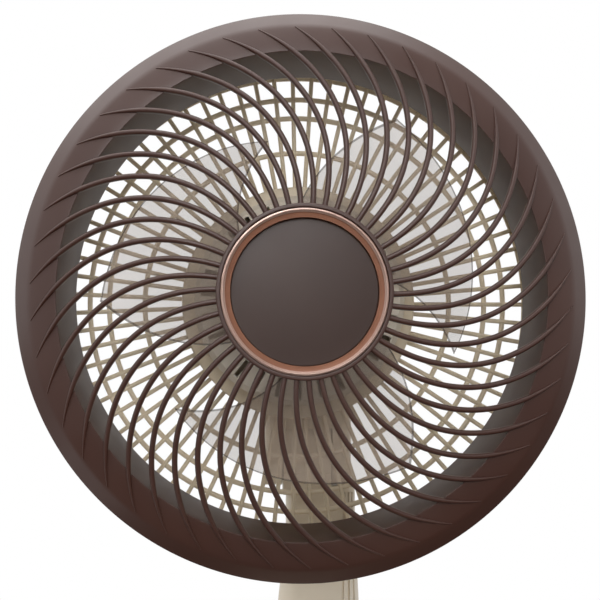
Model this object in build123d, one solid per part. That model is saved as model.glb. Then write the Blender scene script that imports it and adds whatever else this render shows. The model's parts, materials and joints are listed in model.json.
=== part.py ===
from build123d import *
import os
from math import asin, atan2, cos, degrees, radians, sin, sqrt

# Pedestal air circulator fan, in millimetres.
# Origin: middle of the base, on the floor. +Z up, the fan blows towards -Y, +X to the viewer's right.
# Head pieces are drawn with the fan axis as local Z, positive towards the viewer, then set in place.

# ---- where things stand ----
axis_height = 740.0  # fan axis above the floor
ring_forward = 112.0  # guard's widest plane, ahead of the post axis
tilt_drop = 92.0  # tilt axis below the fan axis, above the post
wall = 2.2  # moulded wall
seat_gap = 0.3  # between pieces that seat on each other
shaft_clearance = 0.05  # radial, a shaft in its bore

# ---- front guard ----
guard_radius = 160.0
bezel_wide = 23.8  # from the outside to the lip of the throat
edge_wide = 8.2  # bevelled band round the outside of the bezel
edge_high = 7.0
edge_bulge = 1.0  # crown of the band
lip_front = 11.5
face_bulge = 1.0  # crown of the front face
throat_taper = 7.2  # lip to the throat's rear edge
throat_back = -27.0
skirt_back = -28.0
rib_count = 46
rib_phase = 6.4  # degrees, first rib at the hub
rib_sweep = 29.2  # degrees, hub to tip
rib_curve = 1.77  # how the sweep gathers towards the rim
rib_width = 3.0
rib_depth = 5.6
rib_landing = 1.5  # past the lip, where a rib has met the bezel
rib_landing_depth = 4.5
rib_tip_depth = 1.3
rib_tip_width = 1.4
rib_fade = 13.0  # a rib keeps its full depth to this far inside the lip
rib_span_count = 4  # straight lofts along the full depth
rib_tip_inset = 9.0  # tips stop short of the guard's outside
rib_tip_front = 7.7
rib_dome = 1.88  # how the dome falls off towards the rim
hub_radius = 48.0
hub_front = 34.6
hub_back = 20.0
hub_wall = 2.2

# ---- trim ring and cap ----
trim_fit = 0.25
trim_lip = 0.8
trim_cove = 0.9  # hollow of the ring's face
cap_radius = 40.2
cap_front = 29.2
cap_dome = 1.2
cap_edge = 0.6
cap_thick = 2.2
cap_fit = 0.15
trim_ledge = 1.6

# ---- rear guard ----
bar_count = 75
bar_width = 2.6
bar_depth = 4.0
lattice_back = -82.0
ring_insets = (51.3, 29.6, 17.9)  # hoops, in from the lattice's corner
ring_width = 3.0
ring_depth = 3.0
plate_radius = 70.0
plate_front = -62.0
plate_thick = 3.0
plate_bore = 30.0
rear_taper = 15.5  # guard's outside to the lattice's corner
rear_bulge = 2.5
rear_rim = 6.0  # rim round the ends of the bars
spigot_fit = 0.4
spigot_long = 12.0
flange_thick = 2.7

# ---- motor ----
shaft_radius = 4.0
bearing_radius = 11.0
bearing_long = 7.0
pod_radius = 62.0
pod_front = -40.0
pod_edge = 3.0
vent_count = 27
vent_inner = 47.0
vent_outer = 58.0
vent_width = 2.7
vent_phase = 3.0  # degrees
boss_radius = 14.0
stator_radius = 29.0
stator_long = 26.0
rotor_radius = 16.0
air_gap = 0.5
cover_radius = 58.0
cover_back = -138.0
cover_round = 20.0  # rear corner of the cover
cover_vent_count = 20
cover_vent_inner = 36.0
cover_vent_outer = 50.0
cover_vent_width = 3.0
rear_bearing_back = -122.0

# ---- propeller ----
blade_count = 3
blade_front_angle = 97.0  # degrees, front edge at the hub
blade_root_span = 76.0
blade_front_slant = 35.0  # front edge falls back towards its tip
blade_rear_slant = 40.0
blade_clearance = 15.0  # front tips inside the throat's rear edge
blade_drop = 15.0  # rear corners further in than the front tips
blade_thick = 1.8
blade_row_count = 5  # points drawn from the hub to the rim
blade_column_count = 9  # and from the front edge to the rear edge
blade_front_root = -4.0
blade_rear_root = -31.0
blade_front_tip = 6.0
blade_rear_tip = -47.0
prop_radius = 42.0
prop_front = -2.0
prop_back = -34.0
prop_boss = 9.0
nut_radius = 13.0
nut_long = 9.0

# ---- tilt joint ----
tilt_radius = 20.0
bracket_corner = 6.0
shoulder_gap = 0.5  # neck to the bracket's flat faces, tilted either way
ear_left = (-20.0, -8.6)
ear_right = (22.3, 34.0)
tongue = (-8.0, 21.7)
pin_radius = 3.0
tilt_can_radius = 14.0
tilt_can_long = 19.0
can_fit = 0.3

# ---- neck ----
waist = (-6.0, 37.0)
waist_deep = 15.0
arm_taper = 54.0  # drum's top up to the waist
arm_foot = (-12.0, 40.0)
arm_foot_deep = 19.0
drum_radius = 43.0
neck_tall = 130.0  # tilt axis above the drum's underside
drum_tall = 28.0
drum_round = 7.0
foot_corner = 15.0
waist_corner = 9.0
flute_angles = (11.5, 29.6, 48.3)  # degrees round the right front corner
flute_width = 1.5
flute_deep = 1.2
flute_tall = 24.0  # above the waist
pan_can_radius = 14.0
pan_can_long = 19.0

# ---- post ----
bearing_ring = 3.0
bearing_band = 9.0
post_radius = 25.0
post_wall = 2.0
cap_tall = 24.0  # post's top up to the drum
cap_flare = 3.0  # hollow of the flare under the drum
table_thick = 4.0
plug_long = 14.0
plug_fit = 0.2
collar_radius = 34.0
collar_height = 26.0
collar_foot = 5.0
collar_flare = 2.0
foot_plug_long = 30.0
bolt_radius = 4.0
bolt_fit = 0.1
bolt_head = 8.0

# ---- base ----
base_radius = 150.0
base_top = 27.0
base_shoulder = 21.0  # rounded shoulder, in from the outside
base_drop = 13.0  # and down from the top
foot_height = 3.0
foot_radius = 9.0
foot_count = 5
foot_circle = 118.0
foot_phase = 18.0  # degrees
sheet = 1.5
sheet_fit = 0.5
weight_radius = 92.0
weight_thick = 10.0
screw_circle = 134.0
screw_phase = 54.0  # degrees, between the feet
screw_boss = 4.0
panel_centre = -98.0
panel_wide = 110.0
panel_deep = 30.0
panel_thick = 2.0
panel_fit = 0.3
pad_border = 3.0
pad_thick = 5.0
button_names = ("power", "speed", "swing", "tilt", "timer")
button_pitch = 20.0
button_wide = 12.0
button_deep = 8.0
button_chamfer = 2.0
button_fit = 0.35
button_proud = 1.6
button_travel = 1.0
button_flange = 1.2
board_wide = 108.0
board_deep = 26.0
board_thick = 1.6
board_inset = 2.5
board_screw = 1.0
switch_size = 6.0
switch_tall = 2.1
jack_wide = 11.0
jack_tall = 9.0
jack_long = 13.0
jack_bore = 2.9
jack_pin = 1.0
jack_deep = 9.5

# ---- screws ----
screw_radius = 1.5
screw_fit = 0.05
screw_head = 3.0
screw_head_tall = 1.6
screw_bite = 10.0
boss_circle = 40.0
boss_count = 4
boss_phase = 45.0  # degrees
bracket_screw_places = (-3.0, 17.0)
neck_screw_places = ((15.5, -76.0), (15.5, -40.0))  # height from the tilt axis

# ---- what follows from them ----
head = Plane(origin=(0, -ring_forward, axis_height), x_dir=(1, 0, 0), z_dir=(0, -1, 0))
tilt_height = axis_height - tilt_drop
drum_low = tilt_height - neck_tall
drum_high = drum_low + drum_tall
waist_height = drum_high + arm_taper
post_top = drum_low - cap_tall
lip_radius = guard_radius - bezel_wide
throat_radius = lip_radius - throat_taper
rib_tip_radius = guard_radius - rib_tip_inset
corner_radius = guard_radius - rear_taper
blade_tip_radius = throat_radius - blade_clearance
blade_corner_radius = blade_tip_radius - blade_drop


def turned(outline):
    """Solid of revolution about Z from an outline drawn as (radius, height)."""
    return revolve(Plane.XZ * make_face(outline), Axis.Z)


def bowed(start, end, bulge):
    """Arc from point to point, its middle off the chord to the right of the way by the bulge."""
    across, up = end[0] - start[0], end[1] - start[1]
    share = bulge / sqrt(across**2 + up**2)
    middle = ((start[0] + end[0]) / 2 + up * share, (start[1] + end[1]) / 2 - across * share)
    return ThreePointArc(start, middle, end)


def turned_polygon(*points):
    return turned(Polyline(*points, close=True))


def block(x, y, z):
    """Box between pairs of limits."""
    size = (x[1] - x[0], y[1] - y[0], z[1] - z[0])
    middle = ((x[0] + x[1]) / 2, (y[0] + y[1]) / 2, (z[0] + z[1]) / 2)
    return Pos(*middle) * Box(*size)


def rod(radius, low, high):
    """Cylinder on the Z axis between two heights."""
    return Pos(0, 0, (low + high) / 2) * Cylinder(radius, high - low)


def rod_x(radius, left, right):
    """Cylinder on the tilt axis between two x positions."""
    return Pos((left + right) / 2, 0, tilt_height) * Rot(0, 90, 0) * Cylinder(radius, right - left)


def around(shape, count, start=0.0):
    """Copies of a shape about Z."""
    return [Rot(0, 0, start + 360.0 * k / count) * shape for k in range(count)]


# ------------------------------------------------------------------ front guard

def bezel():
    """Thin ring: outer skin, crowned front face and the throat's inner cone."""
    flat_start = guard_radius - edge_wide
    skin = guard_radius - wall
    outline = Polyline(
        (flat_start, edge_high - wall),
        (skin, 0),
        (skin, skirt_back),
        (guard_radius, skirt_back),
        (guard_radius, 0),
    )
    outline += bowed((guard_radius, 0), (flat_start, edge_high), edge_bulge)
    outline += bowed((flat_start, edge_high), (lip_radius, lip_front), face_bulge)
    outline += Polyline(
        (lip_radius, lip_front),
        (lip_radius - wall / 2, lip_front - wall / 2),
        (throat_radius, throat_back),
        (throat_radius + wall, throat_back),
        (lip_radius + wall / 2, lip_front - wall),
        (flat_start, edge_high - wall),
    )
    return turned(outline)


def rib_angle(radius):
    """Direction of a rib's centre line from the fan axis, in degrees past its root."""
    share = max(radius - hub_radius, 0.0) / (rib_tip_radius - hub_radius)
    return rib_sweep * share**rib_curve


def rib_front(radius):
    """Height of a rib's crest, on the guard's dome."""
    share = max(radius - hub_radius, 0.0) / (rib_tip_radius - hub_radius)
    return hub_front - 1.0 - (hub_front - 1.0 - rib_tip_front) * share**rib_dome


def rib_section(radius, depth, width=rib_width):
    """Rib section at one radius, square to the rib's path."""
    angle = radians(rib_angle(radius))
    step = 0.5
    turn = radians(rib_angle(radius + step) - rib_angle(radius)) / step
    heading = angle + atan2(radius * turn, 1.0)
    place = Plane(
        origin=(radius * cos(angle), radius * sin(angle), rib_front(radius)),
        x_dir=(-sin(heading), cos(heading), 0),
        z_dir=(cos(heading), sin(heading), 0),
    )
    half = width / 2
    crest = half * 0.55
    shoulder = -half * 0.6
    points = ((-half, -depth), (half, -depth), (half, shoulder), (crest, 0), (-crest, 0), (-half, shoulder))
    return place * make_face(Polyline(*points, close=True))


def rib():
    """One swept rib, from inside the hub ring's wall to its tip, sunk in the bezel's face."""
    root = hub_radius - hub_wall / 2
    full = lip_radius - rib_fade
    step = (full - root) / rib_span_count
    sections = [rib_section(root + step * k, rib_depth) for k in range(rib_span_count + 1)]
    sections.append(rib_section(lip_radius + rib_landing, rib_landing_depth))
    sections.append(rib_section(rib_tip_radius, rib_tip_depth, rib_tip_width))
    return loft(sections, ruled=True)


def hub_cup():
    inner = hub_radius - hub_wall
    return turned_polygon(
        (0, hub_back),
        (hub_radius - 1, hub_back),
        (hub_radius, hub_back + 1),
        (hub_radius, hub_front - 0.8),
        (hub_radius - 0.8, hub_front),
        (inner, hub_front),
        (inner, hub_back + wall),
        (0, hub_back + wall),
    )


def front_guard():
    return Part() + [bezel(), hub_cup()] + around(rib(), rib_count, rib_phase)


def trim_ring():
    """Metallic ring in the hub, its face a cove that falls to the cap."""
    outer = hub_radius - hub_wall - trim_fit
    floor = hub_back + wall
    inner = cap_radius + cap_fit
    ledge = cap_front - cap_thick
    crest = (outer - trim_lip, hub_front - 0.2)
    foot = (inner, cap_front + 0.4)
    outline = bowed(crest, foot, -trim_cove)
    outline += Polyline(
        foot,
        (inner, ledge),
        (inner - trim_ledge, ledge),
        (inner - trim_ledge, floor),
        (outer, floor),
        (outer, crest[1]),
        crest,
    )
    return turned(outline)


def centre_cap():
    """Slightly domed disc with a spigot that stands inside the trim ring."""
    spigot = cap_radius - trim_ledge - cap_fit
    ledge = cap_front - cap_thick
    floor = hub_back + wall
    brim = cap_radius - cap_edge
    bow = (brim**2 + cap_dome**2) / (2 * cap_dome)  # radius of the dome
    turn = degrees(asin(brim / bow))
    outline = Polyline(
        (0, cap_front + cap_dome),
        (0, ledge),
        (spigot - wall, ledge),
        (spigot - wall, floor + seat_gap),
        (spigot, floor + seat_gap),
        (spigot, ledge),
        (cap_radius, ledge),
        (cap_radius, cap_front - cap_edge),
        (brim, cap_front),
    )
    return turned(outline + CenterArc((0, cap_front + cap_dome - bow), bow, 90 - turn, turn))


# ------------------------------------------------------------------ rear guard

def rear_shell():
    """Rim that plugs into the bezel's skirt, and the wall that runs back to the lattice."""
    spigot = guard_radius - wall - spigot_fit
    shoulder = skirt_back - seat_gap
    rim_back = shoulder - flange_thick
    inner = spigot - wall
    floor = lattice_back + wall
    outline = Polyline(
        (inner, rim_back),
        (inner, shoulder + spigot_long),
        (spigot, shoulder + spigot_long),
        (spigot, shoulder),
        (guard_radius, shoulder),
        (guard_radius, rim_back),
    )
    outline += bowed((guard_radius, rim_back), (corner_radius, lattice_back), -rear_bulge)
    outline += Polyline(
        (corner_radius, lattice_back),
        (corner_radius - rear_rim, lattice_back),
        (corner_radius - rear_rim, floor),
        (corner_radius - wall, floor),
    )
    outline += bowed((corner_radius - wall, floor), (inner, rim_back), rear_bulge)
    return turned(outline)


def centre_plate():
    plate_back = plate_front - plate_thick
    return turned_polygon(
        (plate_bore, plate_front),
        (plate_radius, plate_front),
        (plate_radius, lattice_back),
        (plate_radius - wall, lattice_back),
        (plate_radius - wall, plate_back),
        (plate_bore, plate_back),
    )


def lattice_ring(radius):
    back = lattice_back + (bar_depth - ring_depth) / 2
    half = ring_width / 2
    return turned_polygon(
        (radius - half, back),
        (radius + half, back),
        (radius + half, back + ring_depth),
        (radius - half, back + ring_depth),
    )


def rear_guard():
    reach = (plate_radius - wall / 2, corner_radius - 4)
    bar = block(reach, (-bar_width / 2, bar_width / 2), (lattice_back, lattice_back + bar_depth))
    rings = [lattice_ring(corner_radius - inset) for inset in ring_insets]
    hole = Pos(boss_circle, 0, 0) * rod(screw_radius + 0.2, plate_front - plate_thick, plate_front)
    guard = Part() + [rear_shell(), centre_plate()] + rings + around(bar, bar_count)
    return guard - around(hole, boss_count, boss_phase)


# ------------------------------------------------------------------ motor

def bearing_front():
    return pod_front - wall - 1.0


def motor_housing():
    """Shallow pod ahead of the rear guard's plate, with a ring of radial vents."""
    seat = bearing_radius + screw_fit
    stop = bearing_front()
    foot = plate_front + seat_gap
    shell = turned_polygon(
        (shaft_radius + 1, pod_front),
        (pod_radius - pod_edge, pod_front),
        (pod_radius, pod_front - pod_edge),
        (pod_radius, foot),
        (pod_radius - wall, foot),
        (pod_radius - wall, pod_front - wall - 1),
        (pod_radius - wall - 1, pod_front - wall),
        (boss_radius, pod_front - wall),
        (boss_radius, stop - bearing_long),
        (seat, stop - bearing_long),
        (seat, stop),
        (shaft_radius + 1, stop),
    )
    half = vent_width / 2
    vent = block((vent_inner, vent_outer), (-half, half), (pod_front - 2 * wall, pod_front + 1))
    boss = Pos(boss_circle, 0, 0) * rod(screw_boss, foot, pod_front - wall / 2)
    hole = Pos(boss_circle, 0, 0) * rod(screw_radius + screw_fit, foot, foot + screw_bite)
    pod = shell + around(boss, boss_count, boss_phase)
    return pod - around(vent, vent_count, vent_phase) - around(hole, boss_count, boss_phase)


def housing_screws():
    """Four screws from behind the plate into the pod's bosses."""
    back = plate_front - plate_thick
    shank = rod(screw_radius, back - 0.5, plate_front + screw_bite - 1)
    screw = shank + rod(screw_head, back - screw_head_tall, back)
    return around(Pos(boss_circle, 0, 0) * screw, boss_count, boss_phase)


def ball_bearing(front):
    return turned_polygon(
        (shaft_radius + screw_fit, front - bearing_long),
        (bearing_radius, front - bearing_long),
        (bearing_radius, front),
        (shaft_radius + screw_fit, front),
    )


def motor_bearings():
    return [ball_bearing(bearing_front()), ball_bearing(rear_bearing_back + bearing_long)]


def motor_shaft():
    front = prop_front + nut_long - 2
    return rod(shaft_radius, rear_bearing_back - 2, front)


def motor_rotor():
    """Eight flat magnets round a core, pressed on the shaft."""
    front = stator_front()
    magnet = extrude(RegularPolygon(rotor_radius - air_gap, 8), -stator_long)
    return Pos(0, 0, front) * magnet - rod(shaft_radius + screw_fit, front - stator_long, front)


def motor_stator():
    front = stator_front()
    stack = extrude(RegularPolygon(stator_radius, 12), -stator_long)
    return Pos(0, 0, front) * stack - rod(rotor_radius, front - stator_long, front)


def motor_cover():
    """Rear casing behind the plate, holding the stator, the rear bearing and the tilt bracket."""
    mouth = plate_front - plate_thick - seat_gap
    seat = bearing_radius + screw_fit
    stop = rear_bearing_back
    inner = cover_radius - wall
    floor = cover_back + wall
    flat = cover_radius - cover_round
    bend = cover_back + cover_round
    sag = cover_round * (1 - sqrt(0.5))
    outline = Polyline((inner, bend), (inner, mouth), (cover_radius, mouth), (cover_radius, bend))
    outline += bowed((cover_radius, bend), (flat, cover_back), -sag)
    outline += Polyline((flat, cover_back), (0, cover_back), (0, floor), (flat, floor))
    outline += bowed((flat, floor), (inner, bend), sag - wall * (1 - sqrt(0.5)))
    shell = turned(outline)
    boss = rod(boss_radius, floor - 0.5, stop + bearing_long)
    boss -= rod(seat, stop, stop + bearing_long)
    boss -= rod(shaft_radius + 1, stop - 6, stop + 1)
    carrier = turned_polygon(
        (stator_radius + screw_fit, floor - 0.5),
        (stator_radius + 2.5, floor - 0.5),
        (stator_radius + 2.5, stator_front() - stator_long + 6),
        (stator_radius + screw_fit, stator_front() - stator_long + 6),
        (stator_radius + screw_fit, stator_front() - stator_long),
        (stator_radius - 2, stator_front() - stator_long),
        (stator_radius - 2, stator_front() - stator_long - 2),
        (stator_radius + screw_fit, stator_front() - stator_long - 2),
    )
    cover = Part() + [shell, boss, carrier]
    low = -cover_radius
    inside = rod(cover_radius - wall / 2, floor, mouth)
    for x in bracket_screw_places:
        upright = Pos(x, low + screw_bite / 2, -ring_forward) * Rot(90, 0, 0)
        cover += upright * Cylinder(screw_boss, screw_bite + 6) & inside
        cover -= upright * Cylinder(screw_radius + screw_fit, screw_bite + 2)
    half = cover_vent_width / 2
    vent = block((cover_vent_inner, cover_vent_outer), (-half, half), (cover_back - 1, bend))
    return cover - around(vent, cover_vent_count, 180 / cover_vent_count)


def stator_front():
    return plate_front - 8


# ------------------------------------------------------------------ propeller

def blade_point(across, along):
    """Point on a blade: across from 0 at the hub to 1 at the rim, along from front edge to rear edge."""
    outer = blade_tip_radius + (blade_corner_radius - blade_tip_radius) * along**1.3
    root = prop_radius - 1.2
    radius = root + (outer - root) * across
    front = blade_front_angle - blade_front_slant * across
    rear = blade_front_angle - blade_root_span - blade_rear_slant * across
    angle = radians(front + (rear - front) * along)
    high = blade_front_root + (blade_front_tip - blade_front_root) * across
    low = blade_rear_root + (blade_rear_tip - blade_rear_root) * across
    height = high + (low - high) * along**1.15
    return Vector(radius * cos(angle), radius * sin(angle), height)


def blade():
    across = [i / (blade_row_count - 1) for i in range(blade_row_count)]
    along = [j / (blade_column_count - 1) for j in range(blade_column_count)]
    grid = [[blade_point(i, j) for j in along] for i in across]
    skin = Face.make_surface_from_array_of_points(grid)
    return Solid.thicken(skin, blade_thick)


def propeller():
    cup = turned_polygon(
        (shaft_radius + screw_fit, prop_front - wall),
        (shaft_radius + screw_fit, prop_front),
        (prop_radius - 3, prop_front),
        (prop_radius, prop_front - 3),
        (prop_radius, prop_back),
        (prop_radius - wall, prop_back),
        (prop_radius - wall, prop_front - wall - 2),
        (prop_radius - wall - 2, prop_front - wall),
        (prop_boss, prop_front - wall),
        (prop_boss, prop_back + 6),
        (shaft_radius + screw_fit, prop_back + 6),
    )
    return Part() + [cup] + around(blade(), blade_count)


def propeller_nut():
    """Six-sided nut with a round flange, in front of the hub."""
    base = prop_front + seat_gap
    flange = rod(nut_radius, base, base + 2)
    grip = Pos(0, 0, base) * extrude(RegularPolygon(nut_radius - 3, 6), nut_long)
    return flange + grip - rod(shaft_radius + screw_fit, base, prop_front + nut_long - 2)


# ------------------------------------------------------------------ tilt joint

def ear(span):
    """One cheek of the fork: a round eye under a straight arm."""
    arm = block(span, (-tilt_radius, tilt_radius), (tilt_height, tilt_height + tilt_radius + 2))
    return rod_x(tilt_radius, *span) + arm


def tilt_bracket():
    """Saddle under the motor cover with two ears, its underside hollowed round the neck's tongue."""
    low = tilt_height + waist_deep + shoulder_gap
    wide = (ear_left[0], ear_right[1])
    saddle = block(wide, (-tilt_radius, tilt_radius), (low, saddle_high()))
    saddle -= rod_x(tilt_radius, ear_left[1], ear_right[0])
    bracket = Part() + [saddle, ear(ear_left), ear(ear_right)]
    outline = RectangleRounded(wide[1] - wide[0], 2 * tilt_radius, bracket_corner)
    bracket &= Pos((wide[0] + wide[1]) / 2, 0) * extrude(outline, axis_height)
    bracket -= rod_x(pin_radius + shaft_clearance, ear_left[0] + 2, ear_left[1])
    bracket -= rod_x(pin_radius + shaft_clearance, ear_right[0], ear_right[1] - 2)
    bracket -= head * rod(cover_radius + seat_gap, cover_back - 1, plate_front)
    for x in bracket_screw_places:
        bracket -= Pos(x, 0, 0) * rod(screw_head + 0.5, saddle_low() - 1, saddle_low() + 3)
        bracket -= Pos(x, 0, 0) * rod(screw_radius + screw_fit, saddle_low(), axis_height)
    return bracket


def saddle_low():
    """Top of the hollow round the tongue."""
    return tilt_height + tilt_radius


def saddle_high():
    """Top of the saddle's wings, part way up the round of the cover."""
    return axis_height - 0.78 * cover_radius


def bracket_screws():
    """Two screws from inside the fork up into the motor cover."""
    low = saddle_low() + 3
    tip = axis_height - cover_radius + screw_bite
    screw = rod(screw_radius, low - 0.5, tip - 1) + rod(screw_head, low - screw_head_tall, low)
    return [Pos(x, 0, 0) * screw for x in bracket_screw_places]


# ------------------------------------------------------------------ neck

def neck_section(height, x, deep, corner):
    """Rounded oblong across the neck at one height."""
    width = x[1] - x[0]
    middle = (x[0] + x[1]) / 2
    return Pos(middle, 0, height) * RectangleRounded(width, 2 * deep, corner)


def neck_body():
    """Arm on a round drum, topped by the tongue, before it is split into shells."""
    shoulder = tilt_height - tilt_radius - shoulder_gap
    foot = neck_section(drum_high - 1, arm_foot, arm_foot_deep, foot_corner)
    middle = neck_section(waist_height, waist, waist_deep, waist_corner)
    arm = loft([foot, middle], ruled=True) + extrude(middle, shoulder - waist_height)
    rim = (drum_radius, drum_high - drum_round)
    brow = (drum_radius - drum_round, drum_high)
    outline = Polyline(brow, (0, drum_high), (0, drum_low), (drum_radius, drum_low), rim)
    drum = turned(outline + bowed(rim, brow, drum_round * (1 - sqrt(0.5))))
    tongue_block = block(tongue, (-waist_deep, waist_deep), (shoulder - 5, tilt_height))
    return drum + arm + tongue_block + rod_x(tilt_radius - seat_gap, *tongue) - flutes()


def flute_section(height, x, deep, corner, angle):
    """Section of a groove, square to the arm's rounded right front corner."""
    turn = radians(angle)
    reach = corner - flute_deep / 2
    centre = (x[1] - corner + reach * sin(turn), corner - deep - reach * cos(turn), height)
    return Pos(*centre) * Rot(0, 0, angle) * Rectangle(flute_width, flute_deep + 0.4)


def flutes():
    """Upright grooves round the right front corner of the arm, from the drum to the shoulder."""
    grooves = []
    for angle in flute_angles:
        foot = flute_section(drum_high - 1, arm_foot, arm_foot_deep, foot_corner, angle)
        middle = flute_section(waist_height, waist, waist_deep, waist_corner, angle)
        grooves.append(loft([foot, middle], ruled=True) + extrude(middle, flute_tall))
    return grooves


def tilt_can_span():
    right = tongue[1] - 1
    return (right - tilt_can_long, right)


def neck_rooms():
    """Rooms inside the neck for the tilt motor, its pin, the pan motor and the screws."""
    left, right = tilt_can_span()
    pan_low = drum_low + wall
    rooms = [
        rod_x(tilt_can_radius + can_fit, left - can_fit, right + can_fit),
        rod_x(pin_radius + screw_fit, tongue[0] - 1, tongue[1] + 1),
        rod(pan_can_radius + can_fit, pan_low, pan_low + pan_can_long + 2 * can_fit),
        rod(pin_radius + shaft_clearance, drum_low - 1, pan_low + 1),
    ]
    for x, drop in neck_screw_places:
        rooms.append(rod_y(screw_radius + screw_fit, x, tilt_height + drop, -9, waist_deep + 5))
        rooms.append(rod_y(screw_head + 0.5, x, tilt_height + drop, 9, waist_deep + 5))
    return rooms


def rod_y(radius, x, height, front, back):
    """Cylinder along Y at a place on the neck."""
    return Pos(x, (front + back) / 2, height) * Rot(90, 0, 0) * Cylinder(radius, back - front)


def neck_shells():
    """Front and rear halves, parted on the post axis."""
    body = neck_body() - neck_rooms()
    side = drum_radius + 1
    front = body & block((-side, side), (-side, -seat_gap / 2), (drum_low - 1, axis_height))
    rear = body & block((-side, side), (seat_gap / 2, side), (drum_low - 1, axis_height))
    return front, rear


def neck_screws():
    screws = []
    for x, drop in neck_screw_places:
        screw = rod_y(screw_radius, x, tilt_height + drop, -8, 9.5)
        screws.append(screw + rod_y(screw_head, x, tilt_height + drop, 9, 9 + screw_head_tall))
    return screws


def tilt_pin():
    """Plain pivot on the left, fixed in the tongue and turning in the ear."""
    left, _ = tilt_can_span()
    return rod_x(pin_radius, ear_left[0] + 3, left - 1)


def tilt_motor():
    """Flat stepper inside the tongue, its shaft in the right ear."""
    left, right = tilt_can_span()
    return rod_x(tilt_can_radius, left, right) + rod_x(pin_radius, right - 1, ear_right[1] - 3)


def pan_motor():
    """Stepper in the neck's drum, its shaft in the post cap."""
    low = drum_low + wall + can_fit
    return rod(pan_can_radius, low, low + pan_can_long) + rod(pin_radius, table_height() - 8, low + 1)


def pan_bearing():
    """Flat slewing ring between the neck's drum and the post cap."""
    outer = drum_radius - 3
    top = drum_low - seat_gap
    return turned_polygon(
        (outer - bearing_band, top - bearing_ring),
        (outer, top - bearing_ring),
        (outer, top),
        (outer - bearing_band, top),
    )


# ------------------------------------------------------------------ post

def table_height():
    return drum_low - bearing_ring - 2 * seat_gap


def post_cap():
    """Plug in the top of the post, spreading to a round table under the slewing ring."""
    table = table_height()
    bore = pin_radius + shaft_clearance
    plug = post_radius - post_wall - plug_fit
    brim = (drum_radius, table - table_thick)
    foot = (post_radius, post_top + seat_gap)
    outline = bowed(brim, foot, -cap_flare)
    outline += Polyline(
        foot,
        (plug, post_top + seat_gap),
        (plug, post_top - plug_long),
        (bore, post_top - plug_long),
        (bore, table),
        (drum_radius, table),
        brim,
    )
    return turned(outline)


def post_tube():
    low = base_top + seat_gap
    return rod(post_radius, low, post_top) - rod(post_radius - post_wall, low, post_top)


def post_foot():
    """Plug in the bottom of the post that the base's bolt pulls down."""
    low = base_top + seat_gap
    plug = rod(post_radius - post_wall - plug_fit, low, low + foot_plug_long)
    return plug - rod(bolt_radius + screw_fit, low, low + foot_plug_long)


def post_collar():
    low = base_top + seat_gap
    inner = post_radius + plug_fit
    brow = (collar_radius, low + collar_foot)
    lip = (post_radius + 3, low + collar_height)
    outline = Polyline(lip, (inner, low + collar_height), (inner, low), (collar_radius, low), brow)
    return turned(outline + bowed(brow, lip, -collar_flare))


def post_bolt():
    """Bolt from under the base plate into the post's foot."""
    head_low = foot_height - 2.5
    shank = rod(bolt_radius, foot_height - 0.5, base_top + foot_plug_long - 4)
    return shank + Pos(0, 0, head_low) * extrude(RegularPolygon(bolt_head, 6), foot_height - head_low)


# ------------------------------------------------------------------ base

def sheet_top():
    return foot_height + sheet


def panel_middle():
    """Places of the buttons, left to right."""
    first = -button_pitch * (len(button_names) - 1) / 2
    return [first + k * button_pitch for k in range(len(button_names))]


def panel_span(border):
    x = panel_wide / 2 + border
    y = panel_deep / 2 + border
    return (-x, x), (panel_centre - y, panel_centre + y)


def button_shape(grow):
    """Outline of a button or its window, centred."""
    outline = Rectangle(button_wide + 2 * grow, button_deep + 2 * grow)
    return chamfer(outline.vertices(), button_chamfer)


def button_windows(low, high):
    window = extrude(button_shape(button_fit), high - low)
    return [Pos(x, panel_centre, low) * window for x in panel_middle()]


def base_cover():
    """Round moulded cover, with a pocket and windows for the panel and bosses for the screws."""
    low = foot_height
    flat = base_radius - base_shoulder
    under = base_top - wall
    bow = (base_shoulder**2 + base_drop**2) / (2 * base_drop)  # radius of the shoulder
    half_chord = sqrt(base_shoulder**2 + base_drop**2) / 2
    sag = bow - sqrt(bow**2 - half_chord**2)
    brow = (base_radius, base_top - base_drop)
    tuck = (base_radius - wall, under - base_drop)
    outline = Polyline(tuck, (base_radius - wall, low), (base_radius, low), brow)
    outline += bowed(brow, (flat, base_top), sag)
    outline += Polyline((flat, base_top), (0, base_top), (0, under), (flat, under))
    outline += bowed((flat, under), tuck, -sag)
    shell = turned(outline)
    board_top = board_low() + board_thick
    boss = Pos(screw_circle, 0, 0) * rod(screw_boss, sheet_top() + seat_gap, under - 0.5)
    pad = block(*panel_span(pad_border), (base_top - pad_thick, under + 0.5))
    stops = board_corners(rod(board_inset - 0.1, board_top + screw_fit, base_top - pad_thick + 0.5))
    cover = Part() + [shell, pad] + stops + around(boss, foot_count, screw_phase)
    hole = Pos(screw_circle, 0, 0) * rod(screw_radius + screw_fit, low, low + screw_bite + 4)
    cover -= around(hole, foot_count, screw_phase)
    cover -= block(*panel_span(0), (base_top - panel_thick, base_top + 1))
    cover -= button_windows(base_top - pad_thick - 1, base_top)
    cover -= board_corners(rod(board_screw + screw_fit, board_top, base_top - pad_thick))
    cover -= rod(bolt_radius + bolt_fit, low, base_top + 1)
    half = jack_wide / 2 + panel_fit
    jack_high = sheet_top() + seat_gap + jack_tall + panel_fit
    return cover - block((-half, half), (base_radius - jack_long, base_radius + 1), (low - 1, jack_high))


def control_panel():
    plate = block(*panel_span(-panel_fit), (base_top - panel_thick, base_top))
    return plate - button_windows(base_top - panel_thick, base_top)


def button(x):
    """Push button: cap through the panel, and a wider flange that keeps it in."""
    flange_top = base_top - pad_thick - seat_gap
    cap = extrude(button_shape(0), base_top + button_proud - flange_top)
    flange = extrude(Rectangle(button_wide + 3, button_deep + 3), -button_flange)
    return Pos(x, panel_centre, flange_top) * (cap + flange)


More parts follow.
